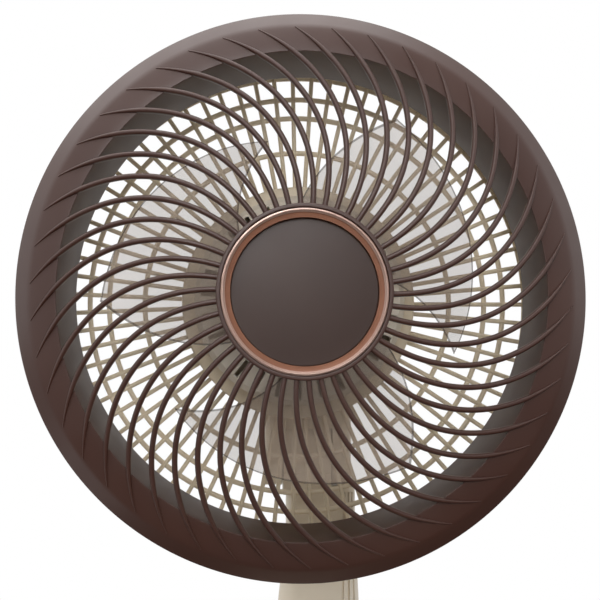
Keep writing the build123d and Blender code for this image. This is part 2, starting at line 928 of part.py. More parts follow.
def switch_low():
    """Switch tops stop just under the buttons at full travel."""
    flange_low = base_top - pad_thick - seat_gap - button_flange
    return flange_low - button_travel - 0.1 - switch_tall


def board_low():
    return switch_low() - board_thick


def board_corners(shape):
    """A shape at each end of the board, where its screws go."""
    x = board_wide / 2 - board_inset
    return [Pos(side * x, panel_centre, 0) * shape for side in (-1, 1)]


def circuit_board():
    low = board_low()
    board = Pos(0, panel_centre, low) * extrude(Rectangle(board_wide, board_deep), board_thick)
    return board - board_corners(rod(board_screw + 0.2, low, low + board_thick))


def push_switches():
    switch = extrude(Rectangle(switch_size, switch_size), switch_tall)
    return [Pos(x, panel_centre, switch_low()) * switch for x in panel_middle()]


def board_screws():
    low = board_low()
    screw = rod(board_screw, low - 0.5, low + board_thick + 3.5) + rod(2 * board_screw, low - 1.2, low)
    return board_corners(screw)


def base_weight():
    low = sheet_top() + seat_gap
    return rod(weight_radius, low, low + weight_thick) - rod(bolt_radius + bolt_fit, low, low + weight_thick)


def base_plate():
    """Steel sheet that closes the base."""
    radius = base_radius - wall - sheet_fit
    plate = rod(radius, foot_height, sheet_top()) - rod(bolt_radius + bolt_fit, foot_height, sheet_top())
    hole = Pos(screw_circle, 0, 0) * rod(screw_radius + 0.2, foot_height, sheet_top())
    return plate - around(hole, foot_count, screw_phase)


def base_screws():
    shank = rod(screw_radius, foot_height - 0.5, foot_height + screw_bite)
    screw = shank + rod(screw_head, foot_height - screw_head_tall, foot_height)
    return around(Pos(screw_circle, 0, 0) * screw, foot_count, screw_phase)


def rubber_feet():
    pad = extrude(RegularPolygon(foot_radius, 8), foot_height)
    return around(Pos(foot_circle, 0, 0) * pad, foot_count, foot_phase)


def power_socket():
    """Barrel socket at the back of the base, its mouth level with the cover."""
    low = sheet_top() + seat_gap
    mouth = base_radius - 0.5
    body = block((-jack_wide / 2, jack_wide / 2), (mouth - jack_long, mouth), (low, low + jack_tall))
    middle = low + jack_tall / 2
    bore = rod_y(jack_bore, 0, middle, mouth - jack_deep, mouth + 1)
    return body - bore + rod_y(jack_pin, 0, middle, mouth - jack_deep - 1, mouth - 1)


# ------------------------------------------------------------------ write the pieces

def group(pieces):
    """Separate solids that share one file."""
    return Compound(children=list(pieces))


def in_head(pieces):
    return group(head * piece for piece in pieces)


front_shell, rear_half = neck_shells()
parts = {
    "front_guard": head * front_guard(),
    "trim_ring": head * trim_ring(),
    "centre_cap": head * centre_cap(),
    "rear_guard": head * rear_guard(),
    "motor_housing": head * motor_housing(),
    "housing_screws": in_head(housing_screws()),
    "motor_bearings": in_head(motor_bearings()),
    "motor_shaft": head * motor_shaft(),
    "motor_rotor": head * motor_rotor(),
    "motor_stator": head * motor_stator(),
    "motor_cover": head * motor_cover(),
    "propeller": head * propeller(),
    "propeller_nut": head * propeller_nut(),
    "tilt_bracket": tilt_bracket(),
    "bracket_screws": group(bracket_screws()),
    "tilt_pin": tilt_pin(),
    "tilt_motor": tilt_motor(),
    "neck_front": front_shell,
    "neck_rear": rear_half,
    "neck_screws": group(neck_screws()),
    "pan_motor": pan_motor(),
    "pan_bearing": pan_bearing(),
    "post_cap": post_cap(),
    "post_tube": post_tube(),
    "post_foot": post_foot(),
    "post_collar": post_collar(),
    "post_bolt": post_bolt(),
    "base_cover": base_cover(),
    "control_panel": control_panel(),
    "circuit_board": circuit_board(),
    "push_switches": group(push_switches()),
    "board_screws": group(board_screws()),
    "base_weight": base_weight(),
    "base_plate": base_plate(),
    "base_screws": group(base_screws()),
    "rubber_feet": group(rubber_feet()),
    "power_socket": power_socket(),
}
for name, x in zip(button_names, panel_middle()):
    parts["button_" + name] = button(x)

os.makedirs("parts", exist_ok=True)
for name, shape in parts.items():
    export_step(shape, f"parts/{name}.step")
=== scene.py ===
import json
from math import copysign, cos, pi, radians, sin, sqrt, tan, tau

import bmesh
import bpy
from mathutils import Matrix, Vector


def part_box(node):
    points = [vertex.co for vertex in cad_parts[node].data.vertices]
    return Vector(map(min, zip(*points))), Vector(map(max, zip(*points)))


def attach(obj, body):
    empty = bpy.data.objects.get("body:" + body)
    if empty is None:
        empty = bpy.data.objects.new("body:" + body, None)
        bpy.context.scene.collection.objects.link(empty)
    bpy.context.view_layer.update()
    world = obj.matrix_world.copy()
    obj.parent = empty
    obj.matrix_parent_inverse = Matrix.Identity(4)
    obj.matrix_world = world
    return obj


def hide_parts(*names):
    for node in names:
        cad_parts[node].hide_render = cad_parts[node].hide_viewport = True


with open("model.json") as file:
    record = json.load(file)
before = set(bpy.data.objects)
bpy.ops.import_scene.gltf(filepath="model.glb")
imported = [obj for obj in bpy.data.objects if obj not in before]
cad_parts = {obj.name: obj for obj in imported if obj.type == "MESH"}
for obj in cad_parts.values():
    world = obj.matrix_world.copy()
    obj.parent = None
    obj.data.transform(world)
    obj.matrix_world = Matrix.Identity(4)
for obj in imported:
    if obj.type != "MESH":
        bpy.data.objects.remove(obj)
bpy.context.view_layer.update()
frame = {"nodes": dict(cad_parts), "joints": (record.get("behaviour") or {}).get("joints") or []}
nodes = frame["nodes"]
scene = bpy.context.scene
print("frame loaded:", len(nodes), "nodes")

spinJoint = next(joint for joint in frame["joints"] if joint["name"] == "fan_spin")
fanCentre = Vector(spinJoint["pos_m"])  # on the fan axis, in the guard's widest plane
turnToFront = Matrix.Rotation(pi / 2, 4, "X")
placeOnAxis = Matrix.Translation(fanCentre) @ turnToFront @ Matrix.Scale(0.001, 4)

weldDistance = 1e-4  # millimetres: points closer than this become one
slimEdge = 1e-5  # millimetres: shorter edges are dissolved
cornerSteps = 5  # points on each softened corner
cornerShare = 0.48  # a softened corner takes at most this share of a side


def reach(node):
    # radius, back and front of a head node, in millimetres from fanCentre
    low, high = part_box(node)
    metres = ((high.x - low.x) / 2, fanCentre.y - high.y, fanCentre.y - low.y)
    return [length * 1000 for length in metres]


def softCorners(corners):
    # corners are (radius, height, softness) round a closed outline; each becomes a short curve
    outline = []
    for i, (radius, height, softness) in enumerate(corners):
        here = Vector((radius, height))
        before = Vector(corners[i - 1][:2]) - here
        after = Vector(corners[(i + 1) % len(corners)][:2]) - here
        if softness == 0:
            outline.append(here)
            continue
        cut = softness / tan(before.angle(after) / 2)
        start = here + before.normalized() * min(cut, before.length * cornerShare)
        end = here + after.normalized() * min(cut, after.length * cornerShare)
        for k in range(cornerSteps + 1):
            t = k / cornerSteps
            outline.append(start * (1 - t) ** 2 + here * 2 * t * (1 - t) + end * t * t)
    return outline


def bow(start, end, bulge, steps=8):
    # corners of a shallow arc from start to end, its middle off to the right by the bulge
    across, up = end[0] - start[0], end[1] - start[1]
    length = sqrt(across ** 2 + up ** 2)
    corners = []
    for k in range(1, steps):
        t = k / steps
        lift = 4 * t * (1 - t) * bulge / length
        corners.append((start[0] + across * t + up * lift, start[1] + up * t - across * lift, 0))
    return corners


def skinLoops(mesh, loops, closed=False):
    # quads between neighbouring loops of points, with flat caps unless the row of loops is closed
    rings = [[mesh.verts.new(point) for point in loop] for loop in loops]
    pairs = list(zip(rings, rings[1:]))
    if closed:
        pairs.append((rings[-1], rings[0]))
    for one, two in pairs:
        for i in range(len(one)):
            j = (i + 1) % len(one)
            mesh.faces.new((one[i], one[j], two[j], two[i]))
    if not closed:
        mesh.faces.new(list(reversed(rings[0])))
        mesh.faces.new(rings[-1])


def turnOutline(mesh, outline, steps):
    # solid of revolution about local Z from a closed (radius, height) outline
    loops = []
    for k in range(steps):
        angle = tau * k / steps
        loops.append([Vector((p.x * cos(angle), p.x * sin(angle), p.y)) for p in outline])
    skinLoops(mesh, loops, closed=True)


def barLoop(centre, side, up, width, depth, section):
    # points round a bar; powers under 1 in the section's square fill out its corners
    loop = []
    for k in range(section["points"]):
        angle = tau * (k + section["shift"]) / section["points"]
        across = copysign(abs(cos(angle)) ** section["square"][0], cos(angle))
        height = copysign(abs(sin(angle)) ** section["square"][1], sin(angle))
        loop.append(centre + side * width / 2 * across + up * depth / 2 * height)
    return loop


def spun(points, angle):
    turn = Matrix.Rotation(angle, 3, "Z")
    return [turn @ point for point in points]


def makePiece(name, mesh, material, body, replaced, sharp=32):
    # closes a bmesh into an object that rides on its body in place of CAD nodes
    bmesh.ops.remove_doubles(mesh, verts=mesh.verts, dist=weldDistance)
    bmesh.ops.dissolve_degenerate(mesh, edges=mesh.edges, dist=slimEdge)
    bmesh.ops.recalc_face_normals(mesh, faces=mesh.faces)
    data = bpy.data.meshes.new(name)
    mesh.to_mesh(data)
    mesh.free()
    data.transform(placeOnAxis)
    data.shade_smooth()
    data.set_sharp_from_angle(angle=radians(sharp))
    data.materials.append(material)
    piece = bpy.data.objects.new(name, data)
    scene.collection.objects.link(piece)
    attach(piece, body)
    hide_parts(*replaced)
    return piece


def turnedPiece(name, corners, material, replaced, steps, body="head"):
    mesh = bmesh.new()
    turnOutline(mesh, softCorners(corners), steps)
    return makePiece(name, mesh, material, body, replaced)


class Wire:
    # one node socket; sums, differences, products and powers of wires add Math nodes
    def __init__(self, tree, socket=None):
        self.tree = tree
        self.socket = socket

    def node(self, kind, settings=None, values=None, out=0):
        made = self.tree.nodes.new("ShaderNode" + kind)
        for name, value in (settings or {}).items():
            setattr(made, name, value)
        for name, value in (values or {}).items():
            if isinstance(value, Wire):
                self.tree.links.new(value.socket, made.inputs[name])
            else:
                made.inputs[name].default_value = value
        return Wire(self.tree, made.outputs[out] if len(made.outputs) else None)

    def out(self, name):
        return Wire(self.tree, self.socket.node.outputs[name])

    def maths(self, operation, one, two):
        return self.node("Math", {"operation": operation}, {0: one, 1: two})

    def __add__(self, other):
        return self.maths("ADD", self, other)

    __radd__ = __add__

    def __sub__(self, other):
        return self.maths("SUBTRACT", self, other)

    def __rsub__(self, other):
        return self.maths("SUBTRACT", other, self)

    def __mul__(self, other):
        return self.maths("MULTIPLY", self, other)

    __rmul__ = __mul__

    def __pow__(self, other):
        return self.maths("POWER", self, other)

    def __rpow__(self, other):
        return self.maths("POWER", other, self)

    def larger(self, other):
        return self.maths("MAXIMUM", self, other)

    def ranged(self, low, high, toLow=0.0, toHigh=1.0):
        # a soft step from toLow to toHigh while this wire goes from low to high
        ends = {"From Min": low, "From Max": high, "To Min": toLow, "To Max": toHigh}
        return self.node("MapRange", {"interpolation_type": "SMOOTHSTEP"}, {"Value": self, **ends})

    def blend(self, one, two):
        # colour one where this wire is 0, colour two where it is 1
        return self.node("Mix", {"data_type": "RGBA"}, {0: self, 6: one, 7: two}, out=2)

    def vector(self, operation, other):
        return self.node("VectorMath", {"operation": operation}, {0: self, 1: other})

    def length(self):
        return self.node("VectorMath", {"operation": "LENGTH"}, {0: self}, out=1)

    def axis(self, name):
        return self.node("SeparateXYZ", {}, {"Vector": self}).out(name)

    def noise(self, scale, detail):
        return self.node("TexNoise", {}, {"Vector": self, "Scale": scale, "Detail": detail})

    def bump(self, strength, distance):
        values = {"Strength": strength, "Distance": distance, "Height": self}
        return self.node("Bump", {}, values)


def srgb(red, green, blue):
    # a colour written 0 to 255, as linear light
    linear = []
    for level in (red, green, blue):
        share = level / 255
        linear.append(share / 12.92 if share <= 0.04045 else ((share + 0.055) / 1.055) ** 2.4)
    return (*linear, 1.0)


def newMaterial(name):
    material = bpy.data.materials.new(name)
    material.use_nodes = True
    material.node_tree.nodes.clear()
    return material, Wire(material.node_tree)


def finishMaterial(start, values):
    shader = start.node("BsdfPrincipled", {}, values)
    start.node("OutputMaterial", {}, {"Surface": shader})


grainDepth = 0.0001  # metres that a moulded grain stands up
lineDepth = 0.00005  # metres that a turned or drawn line stands up
dustRough = 0.3  # what a full coat of dust adds to the roughness


def mottled(noise, look):
    # drifts between the two close colours of a finish
    return noise.ranged(0.3, 0.7).blend(look["colour"], look["colourTwo"])


def mouldedPlastic(name, look):
    # satin moulding: eroded grain, faint flow mottle, worn patches, dust on what faces up
    material, start = newMaterial(name)
    coords = start.node("TexCoord")
    place = coords.out("Object")
    up = coords.out("Normal").axis("Z")
    patches = place.noise(look["rubScale"], detail=5.0)
    worn = patches.ranged(0.75, 0.4)
    dust = up.ranged(0.55, 1.0) * (1 - worn) * look["dust"]
    tone = mottled(place.noise(look["mottleScale"], detail=3.0), look)
    grain = place.noise(look["grainScale"], detail=2.0)
    finishMaterial(start, {
        "Base Color": dust.blend(tone, look["dustColour"]),
        "Roughness": patches.ranged(0.25, 0.75, *look["rough"]) + dust * dustRough,
        "Specular IOR Level": look["gloss"],
        "Normal": grain.bump(look["grain"], grainDepth),
    })
    return material


def platedCopper(name, look):
    # plated ring: fine turned lines round the fan axis over a soft mottle
    material, start = newMaterial(name)
    place = start.node("TexCoord").out("Object")
    flat = place.vector("SUBTRACT", fanCentre).vector("MULTIPLY", (1.0, 0.0, 1.0))
    turned = {"W": flat.length(), "Scale": look["lineScale"], "Detail": 2.0}
    lines = start.node("TexNoise", {"noise_dimensions": "1D"}, turned)
    finishMaterial(start, {
        "Base Color": mottled(place.noise(look["mottleScale"], detail=3.0), look),
        "Roughness": lines.ranged(0.2, 0.8, *look["rough"]),
        "Metallic": look["metal"],
        "Coat Weight": look["coat"],
        "Coat Roughness": look["coatRough"],
        "Normal": lines.bump(look["line"], lineDepth),
    })
    return material


def clearPlastic(name, look):
    # thin smoky sheet: clearer face on, denser where the eye grazes it
    material, start = newMaterial(name)
    haze = start.node("TexCoord").out("Object").noise(look["hazeScale"], detail=4.0)
    graze = start.node("LayerWeight", {}, {"Blend": look["grazeBlend"]}).out("Facing")
    finishMaterial(start, {
        "Base Color": mottled(haze, look),
        "Roughness": haze.ranged(0.3, 0.7, *look["rough"]),
        "Specular IOR Level": look["gloss"],
        "Alpha": graze ** look["grazePower"] * look["grazeAlpha"] + look["alpha"],
    })
    return material


def brushedMetal(name, look):
    # drawn, ground or rolled metal, streaked one way
    material, start = newMaterial(name)
    place = start.node("TexCoord").out("Object")
    streaks = place.vector("MULTIPLY", look["streak"]).noise(look["streakScale"], detail=4.0)
    finishMaterial(start, {
        "Base Color": mottled(place.noise(look["patchScale"], detail=3.0), look),
        "Roughness": streaks.ranged(0.25, 0.75, *look["rough"]),
        "Metallic": look["metal"],
        "Normal": streaks.bump(look["line"], lineDepth),
    })
    return material


plasticLooks = {  # scales are per metre, rough is the least and the most roughness
    "brown": {
        "colour": srgb(62, 36, 28), "colourTwo": srgb(66, 39, 30), "mottleScale": 14.0,
        "rubScale": 55.0, "grainScale": 1300.0, "grain": 0.12,
        "rough": (0.39, 0.45), "gloss": 0.65,
        "dust": 0.12, "dustColour": srgb(150, 140, 132),
    },
    "capBrown": {
        "colour": srgb(55, 37, 31), "colourTwo": srgb(59, 40, 33), "mottleScale": 20.0,
        "rubScale": 60.0, "grainScale": 1700.0, "grain": 0.1,
        "rough": (0.40, 0.44), "gloss": 0.5,
        "dust": 0.0, "dustColour": srgb(150, 140, 132),
    },
    "cream": {
        "colour": srgb(228, 217, 199), "colourTwo": srgb(233, 223, 206), "mottleScale": 11.0,
        "rubScale": 45.0, "grainScale": 1300.0, "grain": 0.12,
        "rough": (0.44, 0.52), "gloss": 0.4,
        "dust": 0.1, "dustColour": srgb(176, 168, 152),
    },
    "lattice": {
        "colour": srgb(228, 212, 184), "colourTwo": srgb(233, 218, 192), "mottleScale": 16.0,
        "rubScale": 60.0, "grainScale": 1300.0, "grain": 0.1,
        "rough": (0.38, 0.46), "gloss": 0.5,
        "dust": 0.1, "dustColour": srgb(176, 168, 152),
    },
    "button": {
        "colour": srgb(214, 208, 194), "colourTwo": srgb(219, 213, 200), "mottleScale": 60.0,
        "rubScale": 160.0, "grainScale": 1900.0, "grain": 0.08,
        "rough": (0.33, 0.43), "gloss": 0.5,
        "dust": 0.06, "dustColour": srgb(176, 168, 152),
    },
    "dark": {
        "colour": srgb(46, 42, 40), "colourTwo": srgb(54, 49, 47), "mottleScale": 25.0,
        "rubScale": 80.0, "grainScale": 1500.0, "grain": 0.15,
        "rough": (0.45, 0.55), "gloss": 0.45,
        "dust": 0.1, "dustColour": srgb(120, 114, 108),
    },
    "rubber": {
        "colour": srgb(38, 37, 36), "colourTwo": srgb(47, 46, 45), "mottleScale": 40.0,
        "rubScale": 120.0, "grainScale": 1100.0, "grain": 0.4,
        "rough": (0.72, 0.84), "gloss": 0.3,
        "dust": 0.2, "dustColour": srgb(110, 106, 100),
    },
    "board": {
        "colour": srgb(28, 92, 52), "colourTwo": srgb(36, 104, 60), "mottleScale": 90.0,
        "rubScale": 220.0, "grainScale": 2200.0, "grain": 0.2,
        "rough": (0.30, 0.40), "gloss": 0.5,
        "dust": 0.05, "dustColour": srgb(120, 130, 110),
    },
}
copperLooks = {
    "plate": {
        "colour": srgb(118, 75, 54), "colourTwo": srgb(124, 80, 58), "mottleScale": 40.0,
        "lineScale": 9000.0, "line": 0.12, "rough": (0.33, 0.45),
        "metal": 0.5, "coat": 0.3, "coatRough": 0.15,
    },
    # pale copper for the trim ring's lip and bevel: its light colour is a painted highlight
    "paintedHighlightEdge": {
        "colour": srgb(190, 158, 144), "colourTwo": srgb(196, 164, 150), "mottleScale": 40.0,
        "lineScale": 9000.0, "line": 0.08, "rough": (0.25, 0.37),
        "metal": 0.5, "coat": 1.0, "coatRough": 0.15,
    },
}
clearLooks = {
    "blade": {
        "colour": srgb(186, 168, 154), "colourTwo": srgb(193, 176, 162), "hazeScale": 22.0,
        "alpha": 0.27, "grazeAlpha": 0.4, "grazePower": 2.0, "grazeBlend": 0.35,
        "rough": (0.12, 0.20), "gloss": 0.6,
    },
    # darker and denser: painted shade for the dark look of a clear sheet's edge
    "bladeEdgePaintedShade": {
        "colour": srgb(112, 98, 88), "colourTwo": srgb(120, 106, 96), "hazeScale": 60.0,
        "alpha": 0.5, "grazeAlpha": 0.2, "grazePower": 1.0, "grazeBlend": 0.35,
        "rough": (0.15, 0.23), "gloss": 0.6,
    },
}
metalLooks = {
    "screw": {
        "colour": srgb(176, 176, 178), "colourTwo": srgb(160, 160, 163), "patchScale": 120.0,
        "streak": (1.0, 1.0, 1.0), "streakScale": 900.0, "line": 0.2,
        "rough": (0.28, 0.46), "metal": 1.0,
    },
    "ground": {
        "colour": srgb(202, 202, 204), "colourTwo": srgb(188, 189, 192), "patchScale": 90.0,
        "streak": (1.0, 12.0, 1.0), "streakScale": 500.0, "line": 0.2,
        "rough": (0.16, 0.34), "metal": 1.0,
    },
    "sheet": {
        "colour": srgb(70, 70, 72), "colourTwo": srgb(80, 80, 82), "patchScale": 30.0,
        "streak": (10.0, 1.0, 1.0), "streakScale": 180.0, "line": 0.3,
        "rough": (0.42, 0.60), "metal": 0.4,
    },
    "iron": {
        "colour": srgb(120, 116, 112), "colourTwo": srgb(98, 92, 88), "patchScale": 60.0,
        "streak": (1.0, 40.0, 1.0), "streakScale": 60.0, "line": 0.6,
        "rough": (0.47, 0.65), "metal": 0.8,
    },
    "cast": {
        "colour": srgb(66, 66, 66), "colourTwo": srgb(84, 83, 82), "patchScale": 45.0,
        "streak": (1.0, 1.0, 1.0), "streakScale": 300.0, "line": 1.0,
        "rough": (0.60, 0.78), "metal": 0.3,
    },
}

brown = mouldedPlastic("brownPlastic", plasticLooks["brown"])
capBrown = mouldedPlastic("capPlastic", plasticLooks["capBrown"])
cream = mouldedPlastic("creamPlastic", plasticLooks["cream"])
latticeCream = mouldedPlastic("latticePlastic", plasticLooks["lattice"])
copper = platedCopper("copperPlate", copperLooks["plate"])
# the pale copper is a painted highlight on the trim ring's lip and bevel
paleCopperPaintedHighlight = platedCopper("copperPaintedHighlightEdge", copperLooks["paintedHighlightEdge"])
clear = clearPlastic("clearBlade", clearLooks["blade"])
clearRimPaintedShade = clearPlastic("clearBladePaintedEdgeShade", clearLooks["bladeEdgePaintedShade"])
slotMaterials = {
    "brown_plastic": brown,
    "copper_trim": copper,
    "cream_plastic": cream,
    "clear_plastic": clear,
    "dark_plastic": mouldedPlastic("darkPlastic", plasticLooks["dark"]),
    "cream_button": mouldedPlastic("buttonPlastic", plasticLooks["button"]),
    "screw_steel": brushedMetal("screwSteel", metalLooks["screw"]),
    "bright_steel": brushedMetal("groundSteel", metalLooks["ground"]),
    "sheet_steel": brushedMetal("sheetSteel", metalLooks["sheet"]),
    "motor_iron": brushedMetal("stackedIron", metalLooks["iron"]),
    "cast_weight": brushedMetal("castIron", metalLooks["cast"]),
    "green_board": mouldedPlastic("coatedBoard", plasticLooks["board"]),
    "rubber": mouldedPlastic("footRubber", plasticLooks["rubber"]),
}
for node in nodes.values():
    for held in node.material_slots:
        held.material = slotMaterials[held.material.name]
print("materials made:", len(bpy.data.materials))


guard = {  # millimetres, like the sizes of every piece that follows
    "wall": 2.2, "edgeWide": 8.2, "edgeHigh": 7.0, "browSoft": 11.0, "faceBulge": 0.35,
    "lipRadius": 136.2, "lipFront": 11.5, "lipSoft": 0.45,
    "throatRadius": 129.0, "throatBack": -27.0,
    "hubRadius": 48.0, "hubFront": 34.6, "hubBack": 20.0, "hubWall": 2.2,
}
ribs = {
    "count": 46, "phase": 6.5, "sweep": 30.4,  # phase and sweep in degrees
    "curve": 1.7, "dome": 1.88,  # powers that bend a rib sideways and down towards its tip
    "rootInside": 1.2, "rootSink": 1.0, "tipRadius": 151.0, "tipFront": 7.7,
    "width": 3.15, "depth": 5.6, "taper": 16.0,  # taper is how far the thinning tip reaches
    "tipWidth": 0.2, "tipDepth": 0.3,  # shares of width and depth left at the tip
    "stations": 44, "section": {"points": 14, "shift": 0.0, "square": (0.8, 0.85)},
}


def ribPlace(radius):
    # centre of a rib's crest at one radius, and the way the rib runs there
    def crest(r):
        share = max(r - guard["hubRadius"], 0) / (ribs["tipRadius"] - guard["hubRadius"])
        angle = radians(ribs["sweep"] * share ** ribs["curve"])
        top = guard["hubFront"] - ribs["rootSink"]
        height = top - (top - ribs["tipFront"]) * share ** ribs["dome"]
        return Vector((r * cos(angle), r * sin(angle), height))

    here = crest(radius)
    heading = crest(radius + 0.4) - here  # to a point a little further out
    return here, Vector((heading.x, heading.y, 0)).normalized()


def ribLoop(radius):
    # section square to the rib's path, thinning to a point on the bezel's face
    here, heading = ribPlace(radius)
    side = Vector((-heading.y, heading.x, 0))
    up = Vector((0, 0, 1))
    left = (ribs["tipRadius"] - radius) / ribs["taper"]
    width = ribs["width"] * min(1.0, ribs["tipWidth"] + (1 - ribs["tipWidth"]) * left)
    depth = ribs["depth"] * min(1.0, ribs["tipDepth"] + (1 - ribs["tipDepth"]) * left)
    return barLoop(here - up * depth / 2, side, up, width, depth, ribs["section"])


def buildBezel():
    outer, back = reach("front_guard")[:2]
    wall = guard["wall"]
    lip = guard["lipRadius"]
    brow = (outer - guard["edgeWide"], guard["edgeHigh"])
    rim = (lip, guard["lipFront"])
    corners = [
        (outer, back, 0.5),
        (outer, 0, 0.8),
        (*brow, guard["browSoft"]),
        *bow(brow, rim, guard["faceBulge"], 4),
        (*rim, guard["lipSoft"]),
        (guard["throatRadius"], guard["throatBack"], 0.5),
        (guard["throatRadius"] + wall, guard["throatBack"], 0.3),
        (lip + wall / 2, guard["lipFront"] - wall, 1.0),
        (brow[0], brow[1] - wall, 1.0),
        (outer - wall, 0, 1.0),
        (outer - wall, back, 0.3),
    ]
    turnedPiece("guardBezel", corners, brown, ["front_guard"], steps=360)


def buildRibs():
    root = guard["hubRadius"] - ribs["rootInside"]
    last = ribs["stations"] - 1
    template = [ribLoop(root + (ribs["tipRadius"] - root) * k / last) for k in range(last + 1)]
    mesh = bmesh.new()
    for n in range(ribs["count"]):
        angle = radians(ribs["phase"]) + tau * n / ribs["count"]
        skinLoops(mesh, [spun(loop, angle) for loop in template])
    makePiece("guardRibs", mesh, brown, "head", ["front_guard"], sharp=60)


def buildHubCup():
    hub = guard["hubRadius"]
    inner = hub - guard["hubWall"]
    corners = [
        (0, guard["hubBack"], 0),
        (hub, guard["hubBack"], 1.2),
        (hub, guard["hubFront"], 0.9),
        (inner, guard["hubFront"], 0.35),
        (inner, guard["hubBack"] + guard["wall"], 0.3),
        (0, guard["hubBack"] + guard["wall"], 0),
    ]
    turnedPiece("guardHub", corners, brown, ["front_guard"], steps=240)


buildBezel()
buildRibs()
buildHubCup()
print("front guard built")


hubTrim = {
    "lipInset": 0.75, "lipWide": 0.5, "lipTall": 1.6,  # the lip leaves a dark groove at the hub
    "bandFoot": 43.0, "bandLow": 1.9, "flatLow": 2.0,
    "capGap": 0.1, "capEdge": 0.5, "capSide": 2.4, "capStep": 2.0, "capDome": 1.2, "capRings": 12,
}


def buildTrimRing():
    radius, back, front = reach("trim_ring")
    inner = reach("centre_cap")[0] + hubTrim["capGap"]
    lip = radius - hubTrim["lipInset"]
    lipFoot = front - hubTrim["lipTall"]
    corners = [
        (inner, back, 0),
        (radius, back, 0.2),
        (radius, lipFoot, 0.2),
        (lip, lipFoot, 0.2),
        (lip, front, 0.15),
        (lip - hubTrim["lipWide"], front, 0.15),
        (hubTrim["bandFoot"], front - hubTrim["bandLow"], 0.6),  # bevel, then the flat to the cap
        (inner, front - hubTrim["flatLow"], 0),
    ]
    ring = bmesh.new()
    turnOutline(ring, softCorners(corners), steps=300)
    for face in ring.faces:  # the lip and the bevel get a pale copper, a painted highlight
        middle = face.calc_center_median()
        outside = middle.xy.length > hubTrim["bandFoot"] + 0.2
        face.material_index = int(outside and middle.z > lipFoot)
    trim = makePiece("trimRing", ring, copper, "head", ["trim_ring"])
    trim.data.materials.append(paleCopperPaintedHighlight)


def buildCap():
    radius, back, front = reach("centre_cap")
    shoulder = front - hubTrim["capSide"]
    crown = hubTrim["capDome"]
    corners = [
        (0, back, 0),
        (radius - hubTrim["capStep"], back, 0.2),
        (radius - hubTrim["capStep"], shoulder, 0.2),
        (radius, shoulder, 0.2),
        (radius, front - crown, hubTrim["capEdge"]),
    ]
    for k in range(hubTrim["capRings"]):  # shallow crown up to the middle
        share = k / (hubTrim["capRings"] - 1)
        across = (radius - hubTrim["capEdge"] * 2) * (1 - share)
        corners.append((across, front - crown * (1 - share) ** 2, 0))
    turnedPiece("centreCap", corners, capBrown, ["centre_cap"], steps=300)


buildTrimRing()
buildCap()
print("trim ring and cap built")


rear = {
    "wall": 2.2, "cornerRadius": 144.5, "cornerLedge": 6.0, "bulge": 2.5,
    "spigotLong": 12.0, "flange": 2.7, "spigotFit": 0.4,
    "barCount": 75, "barWidth": 2.7, "barDepth": 4.0, "barRings": 9, "barShort": 4.0,
    "hoops": (93.2, 114.9, 126.6), "hoopWidth": 3.1, "hoopDepth": 3.2,
    "section": {"points": 10, "shift": 0.5, "square": (0.75, 0.75)},
    "plateRadius": 70.0, "plateFront": -62.0, "plateThick": 3.0, "plateBore": 30.0,
}


def buildRearShell():
    outer, back, front = reach("rear_guard")
    wall = rear["wall"]
    spigot = outer - wall - rear["spigotFit"]
    shoulder = front - rear["spigotLong"]
    rimBack = shoulder - rear["flange"]
    corner = rear["cornerRadius"]
    ledge = corner - rear["cornerLedge"]
    corners = [
        (spigot, front, 0.4),
        (spigot, shoulder, 0.2),
        (outer, shoulder, 0.6),
        (outer, rimBack, 1.0),
        *bow((outer, rimBack), (corner, back), -rear["bulge"]),
        (corner, back, 2.0),
        (ledge, back, 0.8),
        (ledge, back + wall, 0.6),
        (corner - wall, back + wall, 0.8),
        *bow((corner - wall, back + wall), (spigot - wall, rimBack), rear["bulge"]),
        (spigot - wall, rimBack, 0.8),
        (spigot - wall, front, 0.4),
    ]
    turnedPiece("rearShell", corners, latticeCream, ["rear_guard"], steps=300)


def buildRearLattice():
    back = reach("rear_guard")[1]
    middle = back + rear["barDepth"] / 2
    start = rear["plateRadius"] - rear["wall"] / 2
    end = rear["cornerRadius"] - rear["barShort"]
    alongX, alongY, alongZ = Matrix.Identity(3)
    section = rear["section"]
    bar = []
    for k in range(rear["barRings"]):
        radius = start + (end - start) * k / (rear["barRings"] - 1)
        centre = Vector((radius, 0, middle))
        bar.append(barLoop(centre, alongY, alongZ, rear["barWidth"], rear["barDepth"], section))
    mesh = bmesh.new()
    for n in range(rear["barCount"]):
        skinLoops(mesh, [spun(loop, tau * n / rear["barCount"]) for loop in bar])
    for radius in rear["hoops"]:  # an outline to turn is drawn with its height along Y
        centre = Vector((radius, middle, 0))
        outline = barLoop(centre, alongX, alongY, rear["hoopWidth"], rear["hoopDepth"], section)
        turnOutline(mesh, outline, steps=240)
    makePiece("rearLattice", mesh, latticeCream, "head", ["rear_guard"], sharp=50)


def buildRearPlate():
    back = reach("rear_guard")[1]
    radius = rear["plateRadius"]
    wall = rear["wall"]
    plateBack = rear["plateFront"] - rear["plateThick"]
    corners = [
        (rear["plateBore"], rear["plateFront"], 0.3),
        (radius, rear["plateFront"], 1.5),
        (radius, back, 0.5),
        (radius - wall, back, 0.5),
        (radius - wall, plateBack, 0.6),
        (rear["plateBore"], plateBack, 0.3),
    ]
    turnedPiece("rearPlate", corners, latticeCream, ["rear_guard"], steps=240)


buildRearShell()
buildRearLattice()
buildRearPlate()
print("rear guard built")


